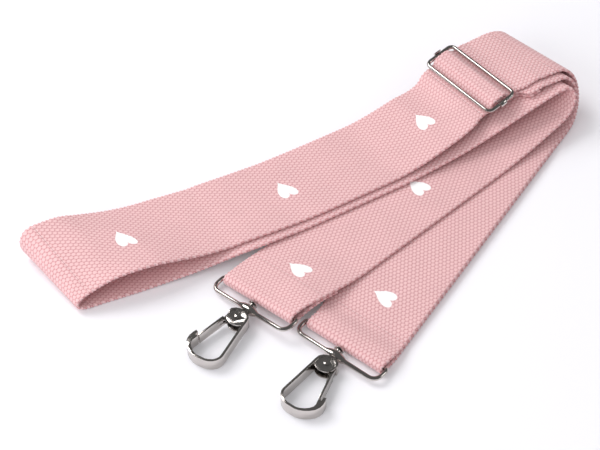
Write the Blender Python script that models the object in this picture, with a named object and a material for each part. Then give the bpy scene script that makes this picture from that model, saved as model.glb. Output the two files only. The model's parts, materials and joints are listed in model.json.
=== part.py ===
"""A detachable bag strap, folded and laid flat: one long webbing band, a sliding adjuster,
and at each end a swivel ring with a spring-gate snap hook. Metres, +Z up."""
import math

import bmesh
import bpy
from mathutils import Matrix, Vector

# Webbing
WEBBING_WIDTH = 0.051
WEBBING_THICKNESS = 0.0018
LAYER_GAP = 0.0003
NARROWING_IN_HARDWARE = 0.0018

# How the band lies, measured back from the pile where all the runs cross
FOLDED_LENGTH = 0.290
LEFT_TAIL_LENGTH = 0.2165
RIGHT_TAIL_LENGTH = 0.2115
LEFT_TAIL_ANGLE = math.radians(12.1)
RIGHT_TAIL_ANGLE = math.radians(26.4)
LEFT_RING_ANGLE = math.radians(15.5)
RIGHT_RING_ANGLE = math.radians(18.0)
LEFT_RING_SIDE = 0.0006
RIGHT_RING_SIDE = 0.0005
LEFT_TURN_SKEW = math.radians(8.0)
RUN_SWAY = 0.010
PILE_RISE = 0.017
BOW_HEIGHT = 0.015
LEFT_TAIL_END = 0.004
RIGHT_TAIL_END = 0.004
UPPER_RUN_END = (-0.010, 0.001)
LOWER_RUN_END = (-0.006, 0.004)
TAIL_BRIDGE_LENGTH = 0.020
BRIDGE_REACH = (0.0060, 0.0060)
LOOP_STRAIGHT = 0.004
LEFT_HEM_LENGTH = 0.030
RETURN_HEM_LENGTH = 0.026
RETURN_SHIFT = 0.0048
LEFT_TURN_REACH = (0.0110, 0.0110)
INNER_TURN_REACH = (0.0140, 0.0145)
RETURN_TURN_REACH = (0.0152, 0.0214)
OUTER_TURN_REACH = (0.0196, 0.0262)

# Swivel rings
RING_INNER_WIDTH = 0.050
RING_DEPTH = 0.0096
RING_WIRE_RADIUS = 0.00125
RING_CORNER_RADIUS = 0.0046
RING_BACK_CORNER_RADIUS = 0.0018
BOSS_RADIUS = 0.0028
BOSS_LENGTH = 0.0068
BOSS_TAPER_LENGTH = 0.0032
BOSS_BARREL_SHARE = 0.88
BOSS_BORE_HALF_HEIGHT = 0.0019
BOSS_BORE_HALF_WIDTH = 0.00245
LEFT_RING_PITCH = math.radians(5.0)
LEFT_HOOK_YAW = math.radians(4.5)
RIGHT_HOOK_YAW = math.radians(10.0)

# Swivel posts
POST_RADIUS = 0.0014
POST_HEAD_RADIUS = 0.0027
POST_HEAD_THICKNESS = 0.0011
POST_HEAD_SETBACK = 0.0038
POST_TAIL_RADIUS = 0.0020
POST_TAIL_THICKNESS = 0.0007
POST_CLEARANCE = 0.0003

# Snap hooks
RIVET_TO_BOSS = 0.0081
CROWN_DEPTH = 0.00452
HOOK_REACH = 0.0340
HOOK_HALF_WIDTH = 0.0112
HOOK_HEIGHT = 0.0068
BAND_THICKNESS = 0.0014
EAR_THICKNESS = 0.0008
EAR_RECESS = 0.0005
EAR_ROOT_SHARE = 0.5
EAR_SIDE_FRONT = 0.0016
EAR_FRONT = 0.0060
RIVET_RADIUS = 0.0010
RIVET_CLEARANCE = 0.0003
RIVET_HEAD_RADIUS = 0.0019
RIVET_HEAD_THICKNESS = 0.0003
RIVET_SEAT = 0.00015
HEAD_DOME_SHARE = 0.75
GATE_THICKNESS = 0.0011
GATE_EYE_RADIUS = 0.0019
GATE_FLANGE_THICKNESS = 0.0005
GATE_CHEEK_INSET = 0.0001
GATE_CHANNEL = 0.0048
FOOT_INSET_SHARE = 0.25
GATE_CLEARANCE = 0.0003
GATE_HEEL = 0.0008
SPRING_WIRE_RADIUS = 0.0002
SPRING_COIL_RADIUS = 0.0016
SPRING_PITCH = 0.00085
SPRING_TURNS = 2
SPRING_GATE_LEG = 0.0100
SPRING_ARM_LEG = 0.0045
GATE_LEG_ANGLE = math.radians(-18.0)
ARM_LEG_ANGLE = math.radians(70.0)

# Slider
SLIDER_LENGTH = 0.0556
SLIDER_DEPTH = 0.0218
SLIDER_WIRE_RADIUS = 0.0012
SLIDER_CORNER_RADIUS = 0.0030
SLIDER_BACK = 0.0320
SLIDER_SIDE = 0.0202
SLIDER_ANGLE = math.radians(6.6)
SLIDER_PITCH = math.radians(12.0)
SLIDER_SEAT = 0.0009
SLIDER_OVERHANG = 0.0015
SLIDER_LEAD = 0.0100
END_LEAD = 0.0090
LEAD_REACH = (0.0040, 0.0040)
END_REACH = (0.0030, 0.0030)
BAR_WIDTH = 0.0042
BAR_THICKNESS = 0.0009
BAR_CLEARANCE = 0.0003
HUMP_SHOULDER = 0.0008
CURL_END = math.radians(70.0)

# Steps and sides of curves
TAIL_STEPS = 20
RUN_STEPS = 44
END_STEPS = 8
HEM_STEPS = 4
TURN_STEPS = 16
WRAP_STEPS = 10
BRIDGE_STEPS = 6
HUMP_STEPS = 20
SEWN_STEPS = 8
SEWN_TURN_STEPS = 8
CORNER_STEPS = 6
WIRE_SIDES = 14
PIN_SIDES = 20
BORE_SIDES = 24
EYE_STEPS = 10
EAR_STEPS = 12
SPRING_STEPS = 14
SPRING_SIDES = 6
CURL_STEPS = 8
SMOOTH_ANGLE = math.radians(30.0)
CUT_OVERRUN = 0.001

NICKEL = ((0.72, 0.70, 0.68, 1.0), 0.18, 1.0)
SPRING_STEEL = ((0.40, 0.39, 0.38, 1.0), 0.35, 1.0)
PINK_COTTON = ((0.80, 0.42, 0.44, 1.0), 0.85, 0.0)

LAYER_PITCH = WEBBING_THICKNESS + LAYER_GAP
HALF_LAYER = WEBBING_THICKNESS / 2
HALF_WIDTH = WEBBING_WIDTH / 2
HALF_WIDTH_IN_HARDWARE = (WEBBING_WIDTH - NARROWING_IN_HARDWARE) / 2
WRAP_RADIUS = RING_WIRE_RADIUS + LAYER_GAP + HALF_LAYER
RING_SEAT = WRAP_RADIUS + HALF_LAYER
CORNER_RISE = WEBBING_THICKNESS + 2 * LAYER_GAP + 2 * RING_WIRE_RADIUS
LEFT_RING_ROLL = math.asin(CORNER_RISE / (2 * HALF_WIDTH_IN_HARDWARE))
LEFT_RING_HEIGHT = RING_SEAT + CORNER_RISE / 2
HOOK_HALF_HEIGHT = HOOK_HEIGHT / 2
LEFT_HEM_REST = LEFT_HEM_LENGTH - TAIL_BRIDGE_LENGTH
BAR_LEVEL = -SLIDER_WIRE_RADIUS - BAR_CLEARANCE - BAR_THICKNESS / 2
RIGHT_RING_PITCH = math.asin((RING_SEAT - HOOK_HALF_HEIGHT) / RING_DEPTH)

# Rows of the lower run: back from the pile, sideways, layers below it, near and far pile rise
LOWER_RUN_SHARES = (
    (-0.040, 1.00, 1.00, 1.05, 0.78),
    (-0.010, 1.00, 1.00, 0.99, 0.77),
    (0.055, 1.00, 1.00, 0.745, 0.705),
    (0.110, 0.99, 1.00, 0.52, 0.515),
    (0.155, 0.98, 1.00, 0.34, 0.34),
    (0.205, 0.96, 1.00, 0.19, 0.19),
    (0.255, 0.94, 1.00, 0.10, 0.10),
    (0.305, 0.92, 1.00, 0.04, 0.04),
    (0.360, 0.90, 1.00, 0.00, 0.00),
    (0.560, 0.92, 1.00, 0.00, 0.00),
    (0.620, 0.97, 1.10, 0.00, 0.00),
    (0.690, 1.08, 1.14, 0.00, 0.00),
    (0.730, 1.28, 0.90, 0.00, 0.00),
    (0.775, 1.52, 0.55, 0.00, 0.00),
    (0.840, 1.92, 0.15, 0.00, 0.00),
    (0.900, 2.20, 0.00, 0.00, 0.00),
    (1.030, 2.65, 0.00, 0.00, 0.00),
)
# Rows of the upper run: back, sideways, lift towards the slider, bow of the near and of the far edge
UPPER_RUN_SHARES = (
    (0.150, 1.72, 1.00, 0.00, -0.20),
    (0.205, 1.50, 0.92, -0.04, -0.23),
    (0.255, 1.35, 0.62, 0.00, -0.03),
    (0.305, 1.29, 0.26, 0.00, 0.00),
    (0.360, 1.28, 0.03, 0.00, 0.00),
    (0.420, 1.28, 0.00, 0.00, 0.00),
    (0.500, 1.29, 0.00, 0.00, 0.00),
    (0.610, 1.40, 0.00, 0.00, 0.00),
    (0.700, 1.62, 0.00, 0.00, 0.00),
    (0.745, 1.74, 0.00, 0.17, 0.17),
    (0.783, 1.86, 0.00, 0.38, 0.34),
    (0.821, 1.98, 0.00, 0.63, 0.48),
    (0.862, 2.12, 0.00, 0.85, 0.64),
    (0.900, 2.28, 0.00, 0.90, 0.81),
    (0.934, 2.45, 0.00, 0.84, 0.96),
    (0.972, 2.63, 0.00, 0.62, 1.12),
    (1.020, 2.78, 0.00, 0.28, 1.08),
)
# Rows of the band's end beyond the slider: back, sideways, layers between it and the lower run
UPPER_END_SHARES = (
    (-0.036, 2.09, 2.00),
    (-0.013, 2.10, 2.45),
    (0.010, 2.13, 3.00),
    (0.070, 2.13, 3.00),
)
# Rows of the left tail: back, pile rise, corner rise of the near and of the far edge
LEFT_TAIL_SHARES = (
    (0.000, 0.40, 0.00, 0.00),
    (0.070, 0.26, 0.00, 0.00),
    (0.130, 0.13, 0.00, 0.00),
    (0.200, 0.05, 0.00, 0.00),
    (0.280, 0.00, 0.00, 0.00),
    (0.700, 0.00, 0.00, 0.00),
    (0.770, 0.00, 0.06, 0.00),
    (0.845, 0.00, 0.56, 0.00),
    (0.905, 0.00, 1.06, 0.05),
    (1.000, 0.00, 1.20, 0.14),
)
# The outer side of the hook's band, from the gate's side of the crown round to the nose: along
# the hook as shares of the crown's depth or of the reach, sideways of its half width, and how
# thick the band is
CROWN_SHARES = (
    (0.09, -0.535, 1.0), (-0.41, -0.500, 1.0), (-0.79, -0.350, 1.0), (-1.00, -0.140, 1.0),
    (-1.00, 0.140, 1.0), (-0.79, 0.370, 1.0), (-0.38, 0.530, 1.0), (0.23, 0.590, 1.0),
)
BOW_SHARES = (
    (0.116, 0.627, 1.0), (0.435, 0.805, 1.0), (0.696, 0.945, 1.0), (0.750, 0.975, 1.0),
    (0.805, 0.970, 1.0), (0.865, 0.900, 1.0), (0.915, 0.780, 1.0), (0.955, 0.610, 1.0),
    (0.980, 0.420, 1.0), (1.000, -0.040, 1.0), (0.993, -0.250, 1.1), (0.965, -0.490, 1.2),
    (0.925, -0.700, 1.4), (0.870, -0.890, 1.7), (0.800, -1.010, 2.2), (0.735, -1.050, 2.6),
    (0.664, -1.035, 2.6), (0.660, -1.034, 1.4), (0.595, -0.985, 1.0),
)
# The gate's outer side at its heel, where its channel ends and at its tip, sideways of the half width
GATE_SIDE_SHARES = (-0.505, -0.545, -0.770)
GATE_TIP_SHARE = 0.643

SPACE = {"origin": Matrix.Identity(4)}
CORNERS = []


def smooth(rows, x):
    """The rows' values at x on a monotone cubic, so that a level stretch stays level."""
    if x <= rows[0][0]:
        return rows[0][1:]
    if x >= rows[-1][0]:
        return rows[-1][1:]
    index = max(i for i in range(len(rows) - 1) if rows[i][0] <= x)
    step = rows[index + 1][0] - rows[index][0]
    t = (x - rows[index][0]) / step

    def slope(i, column):
        if i <= 0 or i >= len(rows) - 1:
            return 0.0
        before = (rows[i][column] - rows[i - 1][column]) / (rows[i][0] - rows[i - 1][0])
        after = (rows[i + 1][column] - rows[i][column]) / (rows[i + 1][0] - rows[i][0])
        return 0.0 if before * after <= 0 else 2 * before * after / (before + after)

    values = []
    for column in range(1, len(rows[0])):
        a, b = rows[index][column], rows[index + 1][column]
        m, n = slope(index, column) * step, slope(index + 1, column) * step
        values.append((2 * t**3 - 3 * t**2 + 1) * a + (t**3 - 2 * t**2 + t) * m
                      + (3 * t**2 - 2 * t**3) * b + (t**3 - t**2) * n)
    return tuple(values)


def frame(origin, along, up):
    """A frame at origin: x along, z near up, y to their left."""
    x = along.normalized()
    y = up.cross(x).normalized()
    z = x.cross(y)
    turned = Matrix((x, y, z)).transposed().to_4x4()
    return Matrix.Translation(origin) @ turned


def finish(name, look):
    colour, roughness, metallic = look
    made = bpy.data.materials.new(name + "_finish")
    made.use_nodes = True
    shader = made.node_tree.nodes["Principled BSDF"]
    shader.inputs["Base Color"].default_value = colour
    shader.inputs["Roughness"].default_value = roughness
    shader.inputs["Metallic"].default_value = metallic
    return made


def add_empty(name, place, parent="origin"):
    """An empty on a joint's axis: its x runs along the axis of a hinge, or along the slide."""
    made = bpy.data.objects.new(name, None)
    bpy.context.scene.collection.objects.link(made)
    made.parent = bpy.data.objects.get(parent)
    made.matrix_basis = SPACE[parent].inverted() @ place
    SPACE[name] = place
    return made


def add_mesh(name, points, faces, look, parent="origin", space=None, smooth_angle=None):
    """A named closed mesh. Its points are in the frame called space, its parent another's."""
    into_parent = SPACE[parent].inverted() @ SPACE[space or parent]
    mesh = bpy.data.meshes.new(name)
    mesh.from_pydata([tuple(into_parent @ Vector(p)) for p in points], [], faces)
    shape = bmesh.new()
    shape.from_mesh(mesh)
    bmesh.ops.recalc_face_normals(shape, faces=shape.faces)
    shape.to_mesh(mesh)
    shape.free()
    if smooth_angle is not None:
        mesh.shade_smooth()
        mesh.set_sharp_from_angle(angle=smooth_angle)
    made = bpy.data.objects.new(name, mesh)
    bpy.context.scene.collection.objects.link(made)
    made.parent = bpy.data.objects.get(parent)
    if look is None:
        made.hide_render = True
        made.display_type = "WIRE"
    else:
        made.data.materials.append(finish(name, look))
        CORNERS.extend(SPACE[space or parent] @ Vector(p) for p in points)
    return made


def boolean(target, tool, operation):
    cut = target.modifiers.new(tool.name, "BOOLEAN")
    cut.operation = operation
    cut.solver = "EXACT"
    cut.object = tool


def prism(outline, low, high):
    """Points and faces of an outline in x and y, extruded from low to high."""
    count = len(outline)
    points = [(x, y, low) for x, y in outline] + [(x, y, high) for x, y in outline]
    faces = [tuple(range(count)), tuple(range(2 * count - 1, count - 1, -1))]
    for i in range(count):
        j = (i + 1) % count
        faces.append((i, j, count + j, count + i))
    return points, faces


def lathe(profile, sides, axis="z"):
    """A turned shape from (radius, height) points, with flat ends."""
    points, faces = [], []
    for radius, height in profile:
        for i in range(sides):
            turn = 2 * math.pi * i / sides
            x, y = radius * math.cos(turn), radius * math.sin(turn)
            points.append((x, y, height) if axis == "z" else (height, x, y))
    for ring in range(len(profile) - 1):
        low, high = ring * sides, (ring + 1) * sides
        for i in range(sides):
            j = (i + 1) % sides
            faces.append((low + i, low + j, high + j, high + i))
    faces.append(tuple(range(sides)))
    faces.append(tuple(range(len(points) - sides, len(points))))
    return points, faces


def arc(centre, radius, start, end, count):
    turns = [start + (end - start) * i / count for i in range(count + 1)]
    return [(centre[0] + radius * math.cos(turn), centre[1] + radius * math.sin(turn)) for turn in turns]


def ease(t):
    """From 0 to 1, level at both ends."""
    return 3 * t**2 - 2 * t**3


def wire_loop(half_x, half_y, radii, stations):
    """A rounded rectangle about the origin, its sides along y cut at the stations.

    The radii are those of the corners towards +x and towards -x."""
    loop = []
    for sign_x, sign_y, start in ((1, -1, 1.5), (1, 1, 0.0), (-1, 1, 0.5), (-1, -1, 1.0)):
        radius = radii[0] if sign_x > 0 else radii[1]
        centre = (sign_x * (half_x - radius), sign_y * (half_y - radius))
        loop += arc(centre, radius, start * math.pi, (start + 0.5) * math.pi, CORNER_STEPS)
        if sign_x != sign_y:
            loop += [(sign_x * half_x, sign_x * station) for station in stations]
    return loop


def swept_ring(loop, radius_at, sides):
    """A closed tube round a flat loop, its radius a function of the point."""
    points, faces = [], []
    count = len(loop)
    for i, (x, y) in enumerate(loop):
        before, after = Vector(loop[i - 1]), Vector(loop[(i + 1) % count])
        along = (after - before).normalized()
        out = Vector((along.y, -along.x))
        radius = radius_at(x, y)
        for k in range(sides):
            turn = 2 * math.pi * (k + 0.5) / sides
            shift = out * radius * math.cos(turn)
            points.append((x + shift.x, y + shift.y, radius * math.sin(turn)))
    for i in range(count):
        for k in range(sides):
            a, b = i * sides + k, i * sides + (k + 1) % sides
            c, d = ((i + 1) % count) * sides + (k + 1) % sides, ((i + 1) % count) * sides + k
            faces.append((a, b, c, d))
    return points, faces


def tube(path, radius, sides):
    """A round wire along a path of points, closed by flat ends."""
    points, faces = [], []
    count = len(path)
    side = None
    for i, centre in enumerate(path):
        here = Vector(centre)
        along = (Vector(path[min(i + 1, count - 1)]) - Vector(path[max(i - 1, 0)])).normalized()
        lead = side if side is not None else Vector((0, 0, 1))
        side = (lead - along * lead.dot(along)).normalized()
        up = along.cross(side)
        for k in range(sides):
            turn = 2 * math.pi * k / sides
            points.append(here + side * radius * math.cos(turn) + up * radius * math.sin(turn))
    for i in range(count - 1):
        for k in range(sides):
            j = (k + 1) % sides
            faces.append((i * sides + k, i * sides + j, (i + 1) * sides + j, (i + 1) * sides + k))
    faces.append(tuple(range(sides)))
    faces.append(tuple(range((count - 1) * sides, count * sides)))
    return points, faces


def offset_path(path, distance):
    """The path's points moved to its left by distance, or by a list of distances."""
    moved = []
    for i, point in enumerate(path):
        before = Vector(path[max(i - 1, 0)])
        after = Vector(path[min(i + 1, len(path) - 1)])
        along = (after - before).normalized()
        shift = distance[i] if isinstance(distance, list) else distance
        moved.append((point[0] - along.y * shift, point[1] + along.x * shift))
    return moved


# The band is laid as sections: a near and a far point of its middle surface, in path order.

def add_band(name, sections, parent="origin"):
    """A closed strip of webbing through the sections, its thickness square to its surface."""
    points, faces = [], []
    count = len(sections)
    for i, (near, far) in enumerate(sections):
        before, after = sections[max(i - 1, 0)], sections[min(i + 1, count - 1)]
        across = far - near
        for edge, k in ((near, 0), (far, 1)):
            normal = (after[k] - before[k]).cross(across).normalized() * HALF_LAYER
            points += [edge - normal, edge + normal]
    for i in range(count - 1):
        a, b = 4 * i, 4 * i + 4
        faces += [(a, a + 2, b + 2, b), (a + 1, b + 1, b + 3, a + 3)]
        faces += [(a, b, b + 1, a + 1), (a + 2, a + 3, b + 3, b + 2)]
    last = 4 * count - 4
    faces += [(0, 1, 3, 2), (last, last + 2, last + 3, last + 1)]
    return add_mesh(name, points, faces, PINK_COTTON, parent, "origin", SMOOTH_ANGLE)


def run(angle, near_span, far_span, place, steps):
    """Sections of a run at an angle to the length. place gives side, near and far height."""
    along = Vector((math.cos(angle), math.sin(angle), 0))
    side = Vector((-along.y, along.x, 0))
    sections = []
    for i in range(steps + 1):
        near_back = near_span[0] + (near_span[1] - near_span[0]) * i / steps
        far_back = far_span[0] + (far_span[1] - far_span[0]) * i / steps
        near_side, near_height, _ = place(near_back)
        far_side, _, far_height = place(far_back)
        near = side * (near_side - HALF_WIDTH) - along * near_back
        far = side * (far_side + HALF_WIDTH) - along * far_back
        near.z, far.z = near_height, far_height
        sections.append((near, far))
    return sections


def local_band(path, half_width, space):
    """Sections of a band that follows a flat path in a frame, its width along the frame's y."""
    sections = []
    for u, w in path:
        near, far = Vector((u, -half_width, w)), Vector((u, half_width, w))
        sections.append((SPACE[space] @ near, SPACE[space] @ far))
    return sections


def bridge(first, second, reach, steps):
    """Sections between the end of one list and the start of another, each edge a cubic."""
    made = []
    for i in range(1, steps):
        t = i / steps
        pair = []
        for k in (0, 1):
            start, end = first[-1][k], second[0][k]
            leave = (first[-1][k] - first[-2][k]).normalized()
            arrive = (second[0][k] - second[1][k]).normalized()
            a, b = start + leave * reach[k], end + arrive * reach[k]
            pair.append(start * (1 - t)**3 + a * 3 * t * (1 - t)**2 + b * 3 * t**2 * (1 - t) + end * t**3)
        made.append(tuple(pair))
    return made


def turn(first, second, reach, steps):
    """A turn of the band from the end of first to the start of second, a gap from both."""
    ends = []
    for near_end, inner in ((first[-1], first[-2]), (second[0], second[1])):
        ends.append(tuple(near_end[k] + (near_end[k] - inner[k]).normalized() * LAYER_GAP for k in (0, 1)))
    lead = [first[-1], ends[0]]
    follow = [ends[1], second[0]]
    return [ends[0]] + bridge(lead, follow, reach, steps) + [ends[1]]


def shortened(sections, reverse=False):
    """The sections with their last one drawn back by the gap between two stretches."""
    ordered = list(reversed(sections)) if reverse else list(sections)
    last, inner = ordered[-1], ordered[-2]
    ordered[-1] = tuple(last[k] - (last[k] - inner[k]).normalized() * LAYER_GAP for k in (0, 1))
    return list(reversed(ordered)) if reverse else ordered


def place_lower(back):
    """The lower run at a distance back from the pile: its side, and its edges' heights."""
    side, layers, near, far = smooth(LOWER_RUN_SHARES, back / FOLDED_LENGTH)
    level = 3 * LAYER_PITCH * layers + HALF_LAYER
    return side * RUN_SWAY, level + PILE_RISE * near, level + PILE_RISE * far


def place_upper(back):
    side, lift, near_bow, far_bow = smooth(UPPER_RUN_SHARES, back / FOLDED_LENGTH)
    _, near, far = place_lower(back)
    rise = LAYER_PITCH + slider_lift() * lift
    return side * RUN_SWAY, near + rise + BOW_HEIGHT * near_bow, far + rise + BOW_HEIGHT * far_bow


def place_upper_end(back, layers_less=0):
    side, layers = smooth(UPPER_END_SHARES, back / FOLDED_LENGTH)
    _, near, far = place_lower(back)
    rise = (layers - layers_less) * LAYER_PITCH
    return side * RUN_SWAY, near + rise, far + rise


def place_left_tail(back):
    pile, near, far = smooth(LEFT_TAIL_SHARES, back / LEFT_TAIL_LENGTH)
    middle = 2 * LAYER_PITCH + HALF_LAYER + PILE_RISE * pile
    return LEFT_RING_SIDE * back / LEFT_TAIL_LENGTH, middle + CORNER_RISE * near, middle + CORNER_RISE * far


def place_right_tail(back, layer=0):
    middle = layer * LAYER_PITCH + HALF_LAYER
    return RIGHT_RING_SIDE * back / RIGHT_TAIL_LENGTH, middle, middle


def slider_depth():
    """From the slider's plane down to the lower run: three layers and the wire."""
    return SLIDER_WIRE_RADIUS + 3 * LAYER_PITCH + LAYER_GAP + SLIDER_SEAT


def slider_centre():
    _, near, far = place_lower(SLIDER_BACK)
    seat = (near + far) / 2 + HALF_LAYER
    return Vector((-SLIDER_BACK, SLIDER_SIDE, seat + slider_depth() / math.cos(SLIDER_PITCH)))


def slider_lift():
    """How far the upper run is lifted off the lower one where it meets the slider."""
    back = SLIDER_BACK + SLIDER_DEPTH / 2 + SLIDER_OVERHANG
    under = SLIDER_WIRE_RADIUS + LAYER_GAP + HALF_LAYER
    height = slider_centre().z - (SLIDER_DEPTH / 2 + SLIDER_OVERHANG) * math.sin(SLIDER_PITCH)
    height -= under * math.cos(SLIDER_PITCH)
    _, near, far = place_lower(back)
    return height - (near + far) / 2 - LAYER_PITCH


def ring_frame(name, tail, ring_angle, height, roll, pitch):
    """Frames on the middle of a ring's back bar: x towards the webbing, y along the bar."""
    angle, length, side = tail
    along = Vector((math.cos(angle), math.sin(angle), 0))
    across = Vector((-along.y, along.x, 0))
    middle = across * side - along * length + Vector((0, 0, height))
    inward = Vector((math.cos(ring_angle), math.sin(ring_angle), 0))
    level = frame(middle, inward, Vector((0, 0, 1))) @ Matrix.Rotation(-roll, 4, "X")
    SPACE[name + "_loop"] = level
    add_empty(name + "_ring_hinge", level @ Matrix.Rotation(-pitch, 4, "Y"))


def tail_spans(tail, ring_angle, start_back, end_back):
    """Where a tail's near and far edges start, square to its ring's bar, and where they end."""
    angle, length, _ = tail
    skew = HALF_WIDTH * math.tan(ring_angle - angle)
    start = length - start_back
    return (start - skew, end_back), (start + skew, end_back)


def below(place, drop):
    """The same place function for a layer that lies lower by drop."""
    def placed(back):
        side, near, far = place(back)
        return side, near - drop, far - drop
    return placed


def ring_wrap(name):
    """The webbing's way round a ring's back bar, from its lower layer to its upper one."""
    wrap = arc((0, 0), WRAP_RADIUS, -0.5 * math.pi, -1.5 * math.pi, WRAP_STEPS)
    path = [(LOOP_STRAIGHT, -WRAP_RADIUS)] + wrap + [(LOOP_STRAIGHT, WRAP_RADIUS)]
    return local_band(path, HALF_WIDTH_IN_HARDWARE, name + "_loop")


def hump_path():
    """The upper run's way through the slider: under a long bar, over the centre bar, under."""
    half = SLIDER_DEPTH / 2 + SLIDER_OVERHANG
    under = -SLIDER_WIRE_RADIUS - LAYER_GAP - HALF_LAYER
    over = BAR_LEVEL + BAR_THICKNESS / 2 + LAYER_GAP + HALF_LAYER + LAYER_PITCH
    flat = SLIDER_DEPTH / 2 - 2 * SLIDER_WIRE_RADIUS
    top = BAR_WIDTH / 2 + HUMP_SHOULDER
    path = []
    for i in range(HUMP_STEPS + 1):
        u = half * (2 * i / HUMP_STEPS - 1)
        t = min(max((flat - abs(u)) / (flat - top), 0.0), 1.0)
        path.append((u, under + (over - under) * ease(t)))
    return path


def sewn_path():
    """Under the hump to the centre bar, round its left edge and back beneath itself."""
    hump = [point for point in reversed(hump_path()) if point[0] > -BAR_WIDTH / 2]
    upper = offset_path(hump, LAYER_PITCH)
    radius = BAR_THICKNESS / 2 + LAYER_GAP + HALF_LAYER
    edge = -BAR_WIDTH / 2 + BAR_THICKNESS / 2
    upper = [point for point in upper if point[0] > edge + HALF_LAYER]
    turned = arc((edge, BAR_LEVEL), radius, 0.5 * math.pi, 1.5 * math.pi, SEWN_TURN_STEPS)
    foot = BAR_LEVEL - radius
    lower = []
    end = -SLIDER_WIRE_RADIUS - LAYER_GAP - HALF_LAYER - 2 * LAYER_PITCH
    start_u, end_u = BAR_WIDTH / 2, SLIDER_DEPTH / 2 + SLIDER_OVERHANG
    for i in range(SEWN_STEPS + 1):
        t = i / SEWN_STEPS
        lower.append((start_u + (end_u - start_u) * t, foot + (end - foot) * ease(t)))
    return upper + turned + lower


def hem_run(square):
    """The sewn end beyond the slider, on the lower run and beneath the return run.

    Its sections are as oblique to the run as the slider is, which square gives."""
    start = SLIDER_BACK - SLIDER_DEPTH / 2 - END_LEAD
    end = SLIDER_BACK - RETURN_HEM_LENGTH
    spans = (start - square, end - square), (start + square, end + square)
    return run(0.0, *spans, lambda back: shifted_end(back, 2), HEM_STEPS)


def shifted_end(back, layers_less):
    """A layer under the band's end beyond the slider, drawn a little to the near side."""
    side, near, far = place_upper_end(back, layers_less)
    share = 1 - back / (SLIDER_BACK - SLIDER_DEPTH / 2)
    return side - RETURN_SHIFT * min(max(share * 2, 0.0), 1.0), near, far


def make_webbing():
    """One strip from the left ring round to the slider's bar, in stretches that follow on."""
    left = (LEFT_TAIL_ANGLE, LEFT_TAIL_LENGTH, LEFT_RING_SIDE)
    right = (RIGHT_TAIL_ANGLE, RIGHT_TAIL_LENGTH, RIGHT_RING_SIDE)
    skew = HALF_WIDTH * math.tan(LEFT_TURN_SKEW)
    folded = FOLDED_LENGTH - skew, FOLDED_LENGTH + skew

    near, far = tail_spans(left, LEFT_RING_ANGLE, TAIL_BRIDGE_LENGTH, LEFT_TAIL_END)
    left_run = run(LEFT_TAIL_ANGLE, near, far, place_left_tail, TAIL_STEPS)
    near, far = tail_spans(left, LEFT_RING_ANGLE, TAIL_BRIDGE_LENGTH, 0.0)
    hem_near, hem_far = (near[0] - LEFT_HEM_REST, near[0]), (far[0] - LEFT_HEM_REST, far[0])
    hem = run(LEFT_TAIL_ANGLE, hem_near, hem_far, below(place_left_tail, LAYER_PITCH), HEM_STEPS)
    wrap = ring_wrap("left")
    left_loop = hem + bridge(hem, wrap, BRIDGE_REACH, BRIDGE_STEPS) + wrap
    left_loop += bridge(wrap, left_run, BRIDGE_REACH, BRIDGE_STEPS) + left_run[:1]

    lower_run = run(0.0, (LOWER_RUN_END[0], folded[0]), (LOWER_RUN_END[1], folded[1]), place_lower,
                    RUN_STEPS)
    hump = local_band(hump_path(), HALF_WIDTH_IN_HARDWARE, "slider_slide")
    square = HALF_WIDTH * math.tan(SLIDER_ANGLE)
    lead = SLIDER_BACK + SLIDER_DEPTH / 2 + SLIDER_LEAD
    upper_run = run(0.0, (folded[0], lead - square), (folded[1], lead + square), place_upper, RUN_STEPS)
    upper_run += bridge(upper_run, hump, LEAD_REACH, BRIDGE_STEPS) + hump[:1]
    lead = SLIDER_BACK - SLIDER_DEPTH / 2 - END_LEAD
    spans = (lead - square, UPPER_RUN_END[0]), (lead + square, UPPER_RUN_END[1])
    upper_end = run(0.0, *spans, place_upper_end, END_STEPS)
    upper_end = hump[-1:] + bridge(hump, upper_end, END_REACH, END_STEPS) + upper_end

    sewn = local_band(sewn_path(), HALF_WIDTH_IN_HARDWARE, "slider_slide")
    return_end = run(0.0, *spans, lambda back: shifted_end(back, 1), END_STEPS)
    entry = [sewn[1], sewn[0]]
    return_run = sewn[:1] + bridge(entry, return_end, END_REACH, END_STEPS) + return_end
    return_run.reverse()
    hem_end = hem_run(square)
    sewn += bridge(sewn, hem_end, END_REACH, END_STEPS) + hem_end

    near, far = tail_spans(right, RIGHT_RING_ANGLE, TAIL_BRIDGE_LENGTH, RIGHT_TAIL_END)
    right_upper = run(RIGHT_TAIL_ANGLE, near, far, lambda back: place_right_tail(back, 1), TAIL_STEPS)
    right_lower = run(RIGHT_TAIL_ANGLE, near[::-1], far[::-1], place_right_tail, TAIL_STEPS)
    wrap = ring_wrap("right")
    right_loop = right_lower[-1:] + bridge(right_lower, wrap, BRIDGE_REACH, BRIDGE_STEPS) + wrap
    right_loop += bridge(wrap, right_upper, BRIDGE_REACH, BRIDGE_STEPS) + right_upper[:1]

    add_band("webbing_left_end_loop", shortened(left_loop))
    add_band("webbing_left_run", left_run)
    add_band("webbing_inner_fold", turn(left_run, lower_run, INNER_TURN_REACH, TURN_STEPS))
    add_band("webbing_lower_run", lower_run)
    add_band("webbing_left_fold", turn(lower_run, upper_run, LEFT_TURN_REACH, TURN_STEPS))
    add_band("webbing_upper_run", shortened(upper_run))
    add_band("webbing_slider_hump", hump, "slider_slide")
    add_band("webbing_upper_end", shortened(upper_end, True))
    add_band("webbing_outer_fold", turn(upper_end, right_lower, OUTER_TURN_REACH, TURN_STEPS))
    add_band("webbing_right_run_lower", right_lower)
    add_band("webbing_right_end_loop", shortened(shortened(right_loop), True))
    add_band("webbing_right_run_upper", right_upper)
    add_band("webbing_return_fold", turn(right_upper, return_run, RETURN_TURN_REACH, TURN_STEPS))
    add_band("webbing_return_run", shortened(return_run))
    add_band("webbing_sewn_loop", sewn, "slider_slide")


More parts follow.
